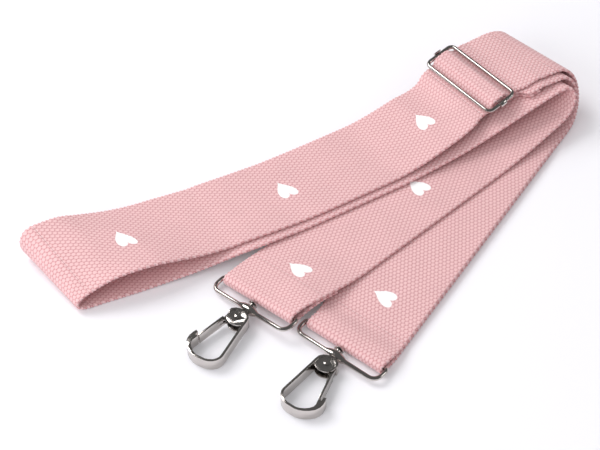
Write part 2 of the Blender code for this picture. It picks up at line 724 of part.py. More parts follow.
def make_ring(name):
    """A wire ring with a bored boss on its front wire."""
    half_x, half_y = RING_DEPTH / 2, RING_INNER_WIDTH / 2 + RING_WIRE_RADIUS
    taper_end = BOSS_LENGTH / 2 + BOSS_TAPER_LENGTH
    stations = [0.0, BOSS_LENGTH / 4, BOSS_LENGTH / 2, taper_end, half_y / 2]
    stations = [-station for station in reversed(stations[1:])] + stations
    loop = wire_loop(half_x, half_y, (RING_BACK_CORNER_RADIUS, RING_CORNER_RADIUS), stations)
    centred = [(x - half_x, y) for x, y in loop]

    def radius_at(x, y):
        if x > -half_x or abs(y) >= taper_end:
            return RING_WIRE_RADIUS
        if abs(y) <= BOSS_LENGTH / 4:
            return BOSS_RADIUS
        if abs(y) <= BOSS_LENGTH / 2:
            return BOSS_RADIUS * BOSS_BARREL_SHARE
        return RING_WIRE_RADIUS

    hinge = name + "_ring_hinge"
    points, faces = swept_ring(centred, radius_at, WIRE_SIDES)
    ring = add_mesh(name + "_ring", points, faces, NICKEL, hinge, smooth_angle=SMOOTH_ANGLE)
    oval = [(BOSS_BORE_HALF_WIDTH * math.cos(turn), BOSS_BORE_HALF_HEIGHT * math.sin(turn))
            for turn in (2 * math.pi * i / BORE_SIDES for i in range(BORE_SIDES))]
    low, high = -RING_DEPTH - BOSS_RADIUS - CUT_OVERRUN, -RING_DEPTH + BOSS_RADIUS + CUT_OVERRUN
    points, faces = prism(oval, low, high)
    points = [(z, x, y) for x, y, z in points]
    bore = add_mesh(name + "_boss_bore", points, faces, None, hinge)
    boolean(ring, bore, "DIFFERENCE")


def hook_frames(name, yaw, face_up):
    """A hook's swivel frame on its ring's boss, x towards the hook, and its rivet's frame."""
    hinge = SPACE[name + "_ring_hinge"]
    boss = hinge @ Vector((-RING_DEPTH, 0, 0))
    outward = -(hinge.to_3x3() @ Vector((1, 0, 0)))
    heading = math.atan2(outward.y, outward.x) + yaw
    drop = (boss.z - HOOK_HALF_HEIGHT) / (RIVET_TO_BOSS + HOOK_REACH)
    level = math.sqrt(1 - drop**2)
    along = Vector((math.cos(heading) * level, math.sin(heading) * level, -drop))
    up = Vector((0, 0, 1)) if face_up else Vector((0, 0, -1))
    swivel = add_empty(name + "_hook_swivel", frame(boss, along, up), name + "_ring_hinge")
    rivet = SPACE[swivel.name] @ Matrix.Translation((RIVET_TO_BOSS, 0, 0))
    add_empty(name + "_gate_hinge", rivet, swivel.name)


def hook_side():
    """The outer side of the band, from the crown to the nose."""
    crown = [(share * CROWN_DEPTH, side * HOOK_HALF_WIDTH) for share, side, _ in CROWN_SHARES]
    bow = [(share * HOOK_REACH, side * HOOK_HALF_WIDTH) for share, side, _ in BOW_SHARES]
    return crown + bow


def hook_outline():
    """The band's outline: its outer side, then back along its inner side."""
    outer = hook_side()
    thickness = [-share * BAND_THICKNESS for _, _, share in CROWN_SHARES + BOW_SHARES]
    return outer + list(reversed(offset_path(outer, thickness)))


def ear_front(first_side, last_side):
    """The rounded front of an ear, half an oval from one side of the crown to the other."""
    middle, half = (first_side + last_side) / 2, (first_side - last_side) / 2
    turns = (math.pi * i / EAR_STEPS for i in range(EAR_STEPS + 1))
    return [(EAR_SIDE_FRONT + (EAR_FRONT - EAR_SIDE_FRONT) * math.sin(turn),
             middle + half * math.cos(turn)) for turn in turns]


def make_hook(name):
    hinge, swivel = name + "_gate_hinge", name + "_hook_swivel"
    points, faces = prism(hook_outline(), -HOOK_HALF_HEIGHT, HOOK_HALF_HEIGHT)
    body = add_mesh(name + "_hook_body", points, faces, NICKEL, swivel, hinge)
    crown = hook_side()[:len(CROWN_SHARES)]
    crown = offset_path(crown, -BAND_THICKNESS * EAR_ROOT_SHARE)
    ear = ear_front(crown[-1][1], crown[0][1]) + crown
    for side, sign in (("upper", 1), ("lower", -1)):
        outside = sign * (HOOK_HALF_HEIGHT - EAR_RECESS)
        points, faces = prism(ear, outside - sign * EAR_THICKNESS, outside)
        plate = add_mesh("_".join((name, side, "ear")), points, faces, None, swivel, hinge)
        boolean(body, plate, "UNION")
    reach = HOOK_HALF_HEIGHT + CUT_OVERRUN
    hole = RIVET_RADIUS + RIVET_CLEARANCE
    points, faces = lathe([(hole, -reach), (hole, reach)], PIN_SIDES)
    boolean(body, add_mesh(name + "_rivet_hole", points, faces, None, swivel, hinge), "DIFFERENCE")
    hole = POST_RADIUS + POST_CLEARANCE
    ends = -CROWN_DEPTH - CUT_OVERRUN, -CROWN_DEPTH + BAND_THICKNESS + CUT_OVERRUN
    points, faces = lathe([(hole, ends[0]), (hole, ends[1])], PIN_SIDES, "x")
    boolean(body, add_mesh(name + "_post_hole", points, faces, None, swivel, hinge), "DIFFERENCE")


def make_post(name):
    """The post that the hook turns on: its head inside the ring, its tail inside the crown."""
    inside = RIVET_TO_BOSS - CROWN_DEPTH + BAND_THICKNESS + POST_CLEARANCE
    head = -POST_HEAD_SETBACK - POST_HEAD_THICKNESS
    profile = [(POST_HEAD_RADIUS * HEAD_DOME_SHARE, head),
               (POST_HEAD_RADIUS, head + POST_HEAD_THICKNESS / 2),
               (POST_HEAD_RADIUS, -POST_HEAD_SETBACK), (POST_RADIUS, -POST_HEAD_SETBACK),
               (POST_RADIUS, inside), (POST_TAIL_RADIUS, inside),
               (POST_TAIL_RADIUS, inside + POST_TAIL_THICKNESS)]
    points, faces = lathe(profile, PIN_SIDES, "x")
    add_mesh(name + "_swivel_post", points, faces, NICKEL, name + "_hook_swivel",
             smooth_angle=SMOOTH_ANGLE)


def make_rivet(name):
    ear = HOOK_HALF_HEIGHT - EAR_RECESS
    low, high = ear + RIVET_SEAT, ear + RIVET_SEAT + RIVET_HEAD_THICKNESS
    half = [(RIVET_RADIUS, low), (RIVET_HEAD_RADIUS, low), (RIVET_HEAD_RADIUS * HEAD_DOME_SHARE, high)]
    profile = [(radius, -height) for radius, height in reversed(half)] + half
    points, faces = lathe(profile, PIN_SIDES)
    add_mesh(name + "_gate_rivet", points, faces, NICKEL, name + "_hook_swivel", name + "_gate_hinge",
             SMOOTH_ANGLE)


def make_gate(name):
    """The spring gate: a channel between the ears with two eyes on the rivet, then full height."""
    hinge = name + "_gate_hinge"
    places = GATE_HEEL, GATE_CHANNEL, GATE_TIP_SHARE * HOOK_REACH
    line = [(place, side * HOOK_HALF_WIDTH) for place, side in zip(places, GATE_SIDE_SHARES)]
    inner = offset_path(line, GATE_THICKNESS)
    ear_inner = HOOK_HALF_HEIGHT - EAR_RECESS - EAR_THICKNESS
    flange = ear_inner - GATE_CLEARANCE
    full = HOOK_HALF_HEIGHT - GATE_CLEARANCE
    points, faces = prism(line[1:] + list(reversed(inner[1:])), -full, full)
    gate = add_mesh(name + "_gate", points, faces, NICKEL, hinge)
    root = [(x + GATE_CHANNEL / 2, y + GATE_THICKNESS * FOOT_INSET_SHARE) for x, y in (line[1], inner[1])]
    foot = [line[0], (root[0][0], root[0][1]), (root[1][0], root[1][1] - GATE_THICKNESS / 2), inner[0]]
    points, faces = prism(foot, -flange, flange)
    boolean(gate, add_mesh(name + "_gate_foot", points, faces, None, hinge), "UNION")
    eye = arc((0, 0), GATE_EYE_RADIUS, 0.0, math.pi, EYE_STEPS)
    middle = [((line[i][0] + inner[i][0]) / 2, (line[i][1] + inner[i][1]) / 2) for i in (0, 1)]
    cheek = eye + [middle[0], (middle[1][0] + GATE_CHANNEL / 3, middle[1][1])]
    for side, sign in (("upper", 1), ("lower", -1)):
        outside = sign * (flange - GATE_CHEEK_INSET)
        points, faces = prism(cheek, outside - sign * GATE_FLANGE_THICKNESS, outside)
        cheek_piece = add_mesh("_".join((name, side, "gate_cheek")), points, faces, None, hinge)
        boolean(gate, cheek_piece, "UNION")
    hole = RIVET_RADIUS + RIVET_CLEARANCE
    points, faces = lathe([(hole, -full), (hole, full)], PIN_SIDES)
    boolean(gate, add_mesh(name + "_gate_hole", points, faces, None, hinge), "DIFFERENCE")


def make_spring(name):
    """The gate's torsion spring round its rivet, one leg along the gate, one along the arm."""
    hinge = name + "_gate_hinge"
    half = SPRING_PITCH * SPRING_TURNS / 2
    path = []
    leave = Vector((math.cos(GATE_LEG_ANGLE), math.sin(GATE_LEG_ANGLE)))
    start = GATE_LEG_ANGLE - 0.5 * math.pi
    end = start - 2 * math.pi * SPRING_TURNS - (math.pi - ARM_LEG_ANGLE + GATE_LEG_ANGLE)
    foot = Vector((SPRING_COIL_RADIUS * math.cos(start), SPRING_COIL_RADIUS * math.sin(start)))
    tip = foot + leave * SPRING_GATE_LEG
    path.append((tip.x, tip.y, half))
    count = SPRING_TURNS * SPRING_STEPS
    for i in range(count + 1):
        turn = start + (end - start) * i / count
        path.append((SPRING_COIL_RADIUS * math.cos(turn), SPRING_COIL_RADIUS * math.sin(turn),
                     half - 2 * half * i / count))
    leave = Vector((math.sin(turn), -math.cos(turn)))
    end_x, end_y = path[-1][0] + leave.x * SPRING_ARM_LEG, path[-1][1] + leave.y * SPRING_ARM_LEG
    path.append((end_x, end_y, -half))
    points, faces = tube(path, SPRING_WIRE_RADIUS, SPRING_SIDES)
    add_mesh(name + "_gate_spring", points, faces, SPRING_STEEL, name + "_hook_swivel", hinge,
             SMOOTH_ANGLE)


def make_slider():
    """The slider's wire frame, and its centre bar curled round the frame's short sides."""
    half_x = SLIDER_DEPTH / 2 - SLIDER_WIRE_RADIUS
    half_y = SLIDER_LENGTH / 2 - SLIDER_WIRE_RADIUS
    radii = SLIDER_CORNER_RADIUS, SLIDER_CORNER_RADIUS
    loop = wire_loop(half_x, half_y, radii, [-half_y / 2, 0.0, half_y / 2])
    points, faces = swept_ring(loop, lambda x, y: SLIDER_WIRE_RADIUS, WIRE_SIDES)
    add_mesh("slider_frame", points, faces, NICKEL, "slider_slide", smooth_angle=SMOOTH_ANGLE)
    radius = SLIDER_WIRE_RADIUS + BAR_CLEARANCE + BAR_THICKNESS / 2
    curl = arc((half_y, 0), radius, -0.5 * math.pi, CURL_END, CURL_STEPS)
    path = [(-y, w) for y, w in reversed(curl)] + curl
    above = offset_path(path, BAR_THICKNESS / 2)
    below_it = offset_path(path, -BAR_THICKNESS / 2)
    points, faces = prism(below_it + list(reversed(above)), -BAR_WIDTH / 2, BAR_WIDTH / 2)
    points = [(z, x, y) for x, y, z in points]
    add_mesh("slider_center_bar", points, faces, NICKEL, "slider_slide", smooth_angle=SMOOTH_ANGLE)


def clear_scene():
    for thing in list(bpy.data.objects):
        bpy.data.objects.remove(thing, do_unlink=True)


def settle():
    """Moves everything so that the origin is the bottom centre of the whole strap's box."""
    low = Vector([min(corner[axis] for corner in CORNERS) for axis in range(3)])
    high = Vector([max(corner[axis] for corner in CORNERS) for axis in range(3)])
    centre = (low + high) / 2
    bpy.data.objects["origin"].location = (-centre.x, -centre.y, -low.z)


def build():
    clear_scene()
    base = bpy.data.objects.new("origin", None)
    bpy.context.scene.collection.objects.link(base)
    left = (LEFT_TAIL_ANGLE, LEFT_TAIL_LENGTH, LEFT_RING_SIDE)
    right = (RIGHT_TAIL_ANGLE, RIGHT_TAIL_LENGTH, RIGHT_RING_SIDE)
    ring_frame("left", left, LEFT_RING_ANGLE, LEFT_RING_HEIGHT, LEFT_RING_ROLL, LEFT_RING_PITCH)
    ring_frame("right", right, RIGHT_RING_ANGLE, RING_SEAT, 0.0, RIGHT_RING_PITCH)
    hook_frames("left", LEFT_HOOK_YAW, True)
    hook_frames("right", RIGHT_HOOK_YAW, False)
    along = Vector((math.cos(SLIDER_ANGLE) * math.cos(SLIDER_PITCH),
                    math.sin(SLIDER_ANGLE) * math.cos(SLIDER_PITCH), math.sin(SLIDER_PITCH)))
    add_empty("slider_slide", frame(slider_centre(), along, Vector((0, 0, 1))))
    make_webbing()
    make_slider()
    for name in ("left", "right"):
        make_ring(name)
        make_post(name)
        make_hook(name)
        make_rivet(name)
        make_gate(name)
        make_spring(name)
    settle()


build()
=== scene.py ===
"""A bag strap of woven pink webbing with white hearts, folded on a white table in soft light.

The webbing is woven row by row along the frame's own strips, as one band with one pattern. The
nickel pieces are copies of the frame's solids with their edges rolled over."""
import json
import math

import bpy
import numpy as np
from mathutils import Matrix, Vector


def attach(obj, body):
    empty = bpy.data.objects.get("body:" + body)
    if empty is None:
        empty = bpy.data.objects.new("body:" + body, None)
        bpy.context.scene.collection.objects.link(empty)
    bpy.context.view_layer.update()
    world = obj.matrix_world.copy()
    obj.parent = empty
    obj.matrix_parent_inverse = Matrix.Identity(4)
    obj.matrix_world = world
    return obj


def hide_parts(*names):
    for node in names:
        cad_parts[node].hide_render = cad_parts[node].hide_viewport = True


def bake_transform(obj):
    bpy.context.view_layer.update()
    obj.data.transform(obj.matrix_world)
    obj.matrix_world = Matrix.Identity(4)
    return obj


# Camera: where it looks on the table, and from how far and how steeply
LOOK_AT = Vector((-0.02365, 0.02868, 0.0))
CAMERA_DISTANCE = 0.985
CAMERA_PITCH = math.radians(46.0)
CAMERA_HEADING = math.radians(32.0)
CAMERA_LENS = 108.0
SENSOR_WIDTH = 36.0

# Webbing, and the grains of its weave
STRAP_WIDTH = 0.051
CORE_HALF_THICKNESS = 0.00078
GRAIN_HEIGHT = 0.00016
GRAIN_FALL = 4.21
GRAIN_LENGTHENED = 0.62
GRAIN_ALONG = 0.0022
GRAIN_ACROSS = 0.0024
ROWS_IN_GRAIN = 4
COLUMNS_IN_GRAIN = 4
ROW = GRAIN_ALONG / ROWS_IN_GRAIN
COLUMN = GRAIN_ACROSS / COLUMNS_IN_GRAIN
EDGE_ROUND = 0.0009
EDGE_INSET = 0.00018
SCALLOP = 0.00030
NUDGE = 0.0006

# How the frame's strips are read: the rough way across them all, how square to it a side wall
# lies, the length of an end wall, how sharp its corners are, and how far apart the points lie
ACROSS = Vector((-0.225, 0.974, 0.0))
WALL_LEVEL = 0.85
END_WALL = 0.0018
SHARP = 0.5
LONGEST_STEP = 0.012
SHORTEST_STEP = 0.0004

# Cotton
# Painted shade: the colour darkens from the cotton's own colour on the grains' crests, over their
# slopes, into the gaps between them
GAP_PAINTED_SHADE = (0.58, 0.255, 0.270, 1.0)
SLOPE_PAINTED_SHADE = (0.77, 0.470, 0.480, 1.0)
CREST_COLOUR = (0.82, 0.545, 0.555, 1.0)
PRINT_COLOUR = (0.96, 0.955, 0.96, 1.0)
SLOPE_LEVEL = 0.35
CREST_LEVEL = 0.85
CLOUD_SCALE = 60.0
CLOUD_DEPTH = 0.12
CLOUD_BASE = 0.94
FUZZ_SCALE = 2600.0
FUZZ_DEPTH = 0.6
COTTON_ROUGHNESS = 0.86
COTTON_SHEEN = 0.18
COTTON_SHEEN_ROUGHNESS = 0.45
COTTON_SPECULAR = 0.25
COTTON_BUMP_STRENGTH = 0.55
COTTON_BUMP = 0.00022
COTTON_BUMP_WITHOUT_RELIEF = 0.00050

# Printed hearts
HEART_SIZE = 0.0053
HEART_RISE = 0.35
HEART_REACH = 0.012
NO_HEART = 1.0

# Hardware
MERGE_DISTANCE = 0.000002
ROLLED_EDGE = 0.00018
ROLLED_SEGMENTS = 2
FLAT_WITHIN = math.radians(0.5)
ROLLED_FROM = math.radians(42.0)
SMOOTH_WITHIN = math.radians(38.0)
WIRE_SMOOTH_WITHIN = math.radians(60.0)

# Metal: its colour, its least roughness, and how much its wear adds
NICKEL = ((0.66, 0.62, 0.595, 1.0), 0.10, 0.10)
SPRING_STEEL = ((0.50, 0.48, 0.46, 1.0), 0.22, 0.15)
WEAR_SCALE = 900.0
PATCH_SCALE = 140.0
DULLED = 0.86
WAVE_SCALE = 420.0
METAL_BUMP_STRENGTH = 0.12
METAL_BUMP = 0.0001

# Table, and the glow that it adds for the camera and for what mirrors it
TABLE_SIZE = 6.0
TABLE_BELOW = 0.0002
TABLE_COLOUR = (0.87, 0.86, 0.90, 1.0)
TABLE_GLOW_COLOUR = (1.0, 1.0, 0.99, 1.0)
TABLE_GLOW = 0.07
TABLE_ROUGHNESS = 0.9
TABLE_SPECULAR = 0.1

# Light: the world as it lights and as the metal mirrors it, soft lights and bright cards. Places
# are from the point looked at, to the camera's right, ahead of it and up.
WORLD_LEVEL = 0.60
WORLD_MIRRORED = -0.48
LAMPS = (
    ("back_softbox", (-1.1, 0.7, 1.4), 1.1, 20.8),
    ("front_softbox", (-0.9, -0.9, 0.7), 0.8, 7.6),
)
CARDS = (
    ("back_card", (-1.0, 0.65, 1.3), 0.85, 6.0),
    ("side_card", (1.2, -0.2, 0.8), 0.4, 3.0),
)
CARD_COLOUR = (1.0, 0.985, 0.97, 1.0)

# The band in the order of its own length: the frame's node, and the bodies that it follows
BAND = (
    ("webbing_left_end_loop", ("webbing",)),
    ("webbing_left_run", ("webbing",)),
    ("webbing_inner_fold", ("webbing",)),
    ("webbing_lower_run", ("webbing",)),
    ("webbing_left_fold", ("webbing",)),
    ("webbing_upper_run", ("webbing", "slider")),
    ("webbing_slider_hump", ("slider",)),
    ("webbing_upper_end", ("slider", "webbing")),
    ("webbing_outer_fold", ("webbing",)),
    ("webbing_right_run_lower", ("webbing",)),
    ("webbing_right_end_loop", ("webbing",)),
    ("webbing_right_run_upper", ("webbing",)),
    ("webbing_return_fold", ("webbing",)),
    ("webbing_return_run", ("webbing", "slider")),
    ("webbing_sewn_loop", ("slider",)),
)
# Strips that the slider pulls out to several times their length
PULLED_OUT = ("webbing_upper_end", "webbing_return_run")
# Where the hearts are printed, on the table's plane
HEARTS = {
    "webbing_left_run": ((-0.0449, -0.0063), (0.0448, 0.0120)),
    "webbing_lower_run": ((-0.0690, 0.0480), (0.0250, 0.0450)),
    "webbing_upper_run": ((-0.1173, 0.0523), (-0.0218, 0.0462), (0.0710, 0.0450)),
    "webbing_right_run_lower": ((0.0100, -0.0290), (0.0900, 0.0110)),
    "webbing_right_run_upper": ((-0.0162, -0.0414),),
}

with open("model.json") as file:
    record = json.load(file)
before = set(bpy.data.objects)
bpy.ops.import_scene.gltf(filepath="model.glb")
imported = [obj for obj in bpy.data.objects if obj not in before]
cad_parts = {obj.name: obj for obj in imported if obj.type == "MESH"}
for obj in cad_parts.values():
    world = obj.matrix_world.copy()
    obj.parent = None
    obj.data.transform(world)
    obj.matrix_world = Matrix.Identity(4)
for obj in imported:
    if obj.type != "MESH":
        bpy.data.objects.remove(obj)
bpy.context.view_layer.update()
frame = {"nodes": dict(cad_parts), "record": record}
nodes = frame["nodes"]


def deselect_all():
    bpy.ops.object.select_all(action="DESELECT")


def choose(thing):
    deselect_all()
    thing.select_set(True)
    bpy.context.view_layer.objects.active = thing


def merged_copy(node, name):
    """A copy of a node's mesh, its loose triangles joined."""
    copy = bpy.data.objects.new(name, nodes[node].data.copy())
    bpy.context.scene.collection.objects.link(copy)
    copy.data.materials.clear()
    choose(copy)
    bpy.ops.object.mode_set(mode="EDIT")
    bpy.ops.mesh.select_all(action="SELECT")
    bpy.ops.mesh.remove_doubles(threshold=MERGE_DISTANCE)
    bpy.ops.object.mode_set(mode="OBJECT")
    return copy


# Materials

def new_material(name):
    made = bpy.data.materials.new(name)
    made.use_nodes = True
    tree = made.node_tree
    return made, tree, tree.nodes["Principled BSDF"]


def number(tree, operation, first, second=None):
    """A Math node whose inputs are sockets or plain numbers."""
    node = tree.nodes.new("ShaderNodeMath")
    node.operation = operation
    for slot, value in enumerate((first, second)):
        if value is None:
            continue
        if isinstance(value, (int, float)):
            node.inputs[slot].default_value = value
        else:
            tree.links.new(value, node.inputs[slot])
    return node.outputs[0]


def mixed(tree, factor, first, second):
    """A colour between two colours, each a socket or four numbers."""
    node = tree.nodes.new("ShaderNodeMix")
    node.data_type = "RGBA"
    tree.links.new(factor, node.inputs["Factor"])
    colours = [socket for socket in node.inputs if socket.type == "RGBA"]
    for socket, value in zip(colours, (first, second)):
        if isinstance(value, tuple):
            socket.default_value = value
        else:
            tree.links.new(value, socket)
    return next(socket for socket in node.outputs if socket.type == "RGBA")


def bumped(tree, shader, height, strength, distance):
    bump = tree.nodes.new("ShaderNodeBump")
    bump.inputs["Strength"].default_value = strength
    bump.inputs["Distance"].default_value = distance
    tree.links.new(height, bump.inputs["Height"])
    tree.links.new(bump.outputs[0], shader.inputs["Normal"])


def scaled(tree, value, factor, base):
    """A value times a factor, on top of a base."""
    socket = number(tree, "MULTIPLY_ADD", value, factor)
    socket.node.inputs[2].default_value = base
    return socket


def strap_places(tree, layer):
    """Places along and across the band, or from the nearest heart, as the mesh carries them."""
    node = tree.nodes.new("ShaderNodeUVMap")
    node.uv_map = layer
    split = tree.nodes.new("ShaderNodeSeparateXYZ")
    tree.links.new(node.outputs[0], split.inputs[0])
    return node.outputs[0], split.outputs[0], split.outputs[1]


def laid_places(tree, way, side, start, centre):
    """Places along and across a strip, from where its surface lies, so that the grain keeps its
    size where the slider pulls the strip out."""
    place = tree.nodes.new("ShaderNodeTexCoord").outputs["Object"]
    joined = tree.nodes.new("ShaderNodeCombineXYZ")
    measured = []
    for slot, (direction, shift) in enumerate(((way, start), (side, centre))):
        dot = tree.nodes.new("ShaderNodeVectorMath")
        dot.operation = "DOT_PRODUCT"
        tree.links.new(place, dot.inputs[0])
        dot.inputs[1].default_value = tuple(direction)
        measured.append(number(tree, "ADD", dot.outputs["Value"], float(shift)))
        tree.links.new(measured[-1], joined.inputs[slot])
    return joined.outputs[0], *measured


def noise(tree, vector, scale, detail=2.0):
    node = tree.nodes.new("ShaderNodeTexNoise")
    node.inputs["Scale"].default_value = scale
    node.inputs["Detail"].default_value = detail
    tree.links.new(vector, node.inputs["Vector"])
    return node.outputs[0]


def heart_mask(tree):
    """1 inside a heart whose point is towards the band's far edge: a disc pushed up at its
    sides."""
    _, along, across = strap_places(tree, "print")
    x = number(tree, "DIVIDE", along, HEART_SIZE)
    y = number(tree, "DIVIDE", across, -HEART_SIZE)
    pushed = number(tree, "SUBTRACT", y, number(tree, "SQRT", number(tree, "ABSOLUTE", x)))
    pushed = number(tree, "ADD", pushed, HEART_RISE)
    squares = number(tree, "ADD", number(tree, "MULTIPLY", x, x),
                     number(tree, "MULTIPLY", pushed, pushed))
    return number(tree, "LESS_THAN", squares, 1.0)


def grain_height(tree, along, across):
    """1 on the crest of a grain, falling to the gaps between the grains, as in `grains`."""
    rows = number(tree, "DIVIDE", along, GRAIN_ALONG)
    odd = number(tree, "MODULO", number(tree, "FLOOR", rows), 2.0)
    u = number(tree, "ABSOLUTE", number(tree, "SUBTRACT", number(tree, "FRACT", rows), 0.5))
    own = number(tree, "ADD", number(tree, "DIVIDE", across, GRAIN_ACROSS),
                 number(tree, "MULTIPLY", odd, 0.5))
    squares = []
    for reach, place in ((u, own),
                         (number(tree, "SUBTRACT", 1.0, u), number(tree, "ADD", own, 0.5))):
        v = number(tree, "SUBTRACT", number(tree, "FRACT", place), 0.5)
        lengthened = number(tree, "MULTIPLY", number(tree, "MULTIPLY", reach, reach),
                            GRAIN_LENGTHENED)
        squares.append(number(tree, "ADD", lengthened, number(tree, "MULTIPLY", v, v)))
    nearest = number(tree, "MINIMUM", *squares)
    return number(tree, "SUBTRACT", 1.0, number(tree, "MULTIPLY", nearest, GRAIN_FALL))


def webbing_material(name, bump_height, laid=None):
    """Pink cotton in a basket weave: pale grains, painted shade between them, white print."""
    made, tree, shader = new_material(name)
    vector, along, across = laid_places(tree, *laid) if laid else strap_places(tree, "strap")
    grain = grain_height(tree, along, across)
    cloudy = noise(tree, vector, CLOUD_SCALE, 3.0)
    fuzz = number(tree, "SUBTRACT", noise(tree, vector, FUZZ_SCALE, 2.0), 0.5)
    height = number(tree, "ADD", grain, number(tree, "MULTIPLY", fuzz, FUZZ_DEPTH))
    # Painted shade: the colour follows the weave's height, darker down the grains' slopes and in
    # the gaps between them, with a random cloudy tone on top
    shade_ramp = tree.nodes.new("ShaderNodeValToRGB")
    tree.links.new(height, shade_ramp.inputs[0])
    first, last = shade_ramp.color_ramp.elements
    first.position, first.color = 0.0, GAP_PAINTED_SHADE
    last.position, last.color = CREST_LEVEL, CREST_COLOUR
    shade_ramp.color_ramp.elements.new(SLOPE_LEVEL).color = SLOPE_PAINTED_SHADE
    shade_and_tone = tree.nodes.new("ShaderNodeHueSaturation")
    tree.links.new(scaled(tree, cloudy, CLOUD_DEPTH, CLOUD_BASE), shade_and_tone.inputs["Value"])
    tree.links.new(shade_ramp.outputs[0], shade_and_tone.inputs["Color"])
    printed = mixed(tree, heart_mask(tree), shade_and_tone.outputs[0], PRINT_COLOUR)
    tree.links.new(printed, shader.inputs["Base Color"])
    shader.inputs["Roughness"].default_value = COTTON_ROUGHNESS
    shader.inputs["Sheen Weight"].default_value = COTTON_SHEEN
    shader.inputs["Sheen Roughness"].default_value = COTTON_SHEEN_ROUGHNESS
    shader.inputs["Specular IOR Level"].default_value = COTTON_SPECULAR
    bumped(tree, shader, height, COTTON_BUMP_STRENGTH, bump_height)
    return made


def metal_material(name, colour, roughness, wear):
    """Bright metal: a little uneven in gloss, with the fine waviness of a tumbled casting."""
    made, tree, shader = new_material(name)
    place = tree.nodes.new("ShaderNodeTexCoord").outputs["Object"]
    worn = noise(tree, place, WEAR_SCALE, 3.0)
    tree.links.new(scaled(tree, worn, wear, roughness), shader.inputs["Roughness"])
    patchy = noise(tree, place, PATCH_SCALE, 2.0)
    dull = tuple(value * DULLED for value in colour[:3]) + (1.0,)
    tree.links.new(mixed(tree, patchy, dull, colour), shader.inputs["Base Color"])
    shader.inputs["Metallic"].default_value = 1.0
    bumped(tree, shader, noise(tree, place, WAVE_SCALE, 1.0), METAL_BUMP_STRENGTH, METAL_BUMP)
    return made


# Webbing

def unit(vectors):
    return vectors / np.linalg.norm(vectors, axis=-1, keepdims=True)


def wall_loops(mesh):
    """The outlines of a strip's two side walls, each a closed loop of points."""
    count = {}
    for face in mesh.polygons:
        spans = [(mesh.vertices[a].co - mesh.vertices[b].co).dot(ACROSS) for a, b in face.edge_keys]
        reach = max(abs(span) for span in spans)
        if reach < STRAP_WIDTH / 2 or abs(face.normal.dot(ACROSS)) > WALL_LEVEL:
            for key in face.edge_keys:
                count[key] = count.get(key, 0) + 1
    follow = {}
    for (a, b), uses in count.items():
        if uses == 1:
            follow.setdefault(a, []).append(b)
            follow.setdefault(b, []).append(a)
    loops = []
    while follow:
        start = min(follow)
        loop, before, here = [start], None, start
        while True:
            ahead = [v for v in follow[here] if v != before]
            before, here = here, ahead[0]
            if here == start:
                break
            loop.append(here)
        for v in loop:
            del follow[v]
        loops.append(np.array([mesh.vertices[v].co[:] for v in loop]))
    return loops


def run_length(line):
    return np.linalg.norm(np.diff(line, axis=0), axis=1).sum()


def nearest_on(line, point):
    start, step = line[:-1], np.diff(line, axis=0)
    t = np.clip(((point - start) * step).sum(1) / (step**2).sum(1), 0.0, 1.0)[:, None]
    found = start + step * t
    return found[np.argmin(np.linalg.norm(found - point, axis=1))]


def wall_corners(loop):
    """The four corners of a side wall: the ends of its two short edges, each with a sharp turn."""
    steps = np.roll(loop, -1, axis=0) - loop
    ahead = unit(steps)
    turn = (ahead * np.roll(ahead, 1, axis=0)).sum(1)
    size = np.linalg.norm(steps, axis=1)
    sharp = (turn < SHARP) & (np.roll(turn, -1) < SHARP)
    short = np.where(sharp, np.abs(size - END_WALL), np.inf)
    ends = np.argsort(short)[:2]
    return sorted(set(ends) | {(end + 1) % len(loop) for end in ends})


def wall_line(loop):
    """The middle line of a side wall, between its two long edges."""
    corners = wall_corners(loop)
    loop = np.roll(loop, -corners[0], axis=0)
    marks = [corner - corners[0] for corner in corners] + [len(loop)]
    closed = np.concatenate((loop, loop[:1]))
    edges = sorted((closed[a:b + 1] for a, b in zip(marks, marks[1:])), key=run_length)[2:]
    edges.sort(key=len)
    other, edge = edges
    line = [(point + nearest_on(other, point)) / 2 for point in edge]
    filled = [line[0]]
    for point in line[1:]:
        pieces = int(np.linalg.norm(point - filled[-1]) // LONGEST_STEP) + 1
        last = filled[-1]
        filled.extend(last + (point - last) * i / pieces for i in range(1, pieces + 1))
    return np.array(filled)


def strip_edges(node):
    """The middle lines of a strip's near and far side walls."""
    copy = merged_copy(node, node + "_guide")
    first, second = (wall_line(loop) for loop in wall_loops(copy.data))
    mesh = copy.data
    bpy.data.objects.remove(copy)
    bpy.data.meshes.remove(mesh)
    level, crossed = ([first[0] - second[at], first[-1] - second[-1 - at]] for at in (0, -1))
    if np.square(level).sum() > np.square(crossed).sum():
        second = second[::-1]
    if (second.mean(0) - first.mean(0)) @ np.array(ACROSS) < 0:
        first, second = second, first
    return first, second


def joined_band():
    """Both edges of all the strips end to end, each with its places along the band, and where
    along the band each strip starts."""
    strips = [strip_edges(node) for node, _ in BAND]
    reach = [min(np.linalg.norm(strips[1][0][to] - strips[0][0][at]) for to in (0, -1))
             for at in (0, -1)]
    if reach[0] < reach[1]:
        strips[0] = tuple(line[::-1] for line in strips[0])
    for i in range(1, len(strips)):
        ends = [np.linalg.norm(strips[i][0][at] - strips[i - 1][0][-1]) for at in (0, -1)]
        if ends[1] < ends[0]:
            strips[i] = tuple(line[::-1] for line in strips[i])
    starts = [0.0]
    edges = ([], [])
    places = ([], [])
    for strip in strips:
        length = (run_length(strip[0]) + run_length(strip[1])) / 2
        for line, points, stations in zip(strip, edges, places):
            steps = np.linalg.norm(np.diff(line, axis=0), axis=1)
            along = starts[-1] + np.concatenate(([0.0], np.cumsum(steps))) * length / steps.sum()
            if points:
                points[-1] = (points[-1] + line[0]) / 2
                line, along = line[1:], along[1:]
            for point, station in zip(line, along):
                if not stations or station - stations[-1] > SHORTEST_STEP:
                    points.append(point)
                    stations.append(station)
        starts.append(starts[-1] + length)
    edges, places = ([np.array(row) for row in pair] for pair in (edges, places))
    return edges, places, starts


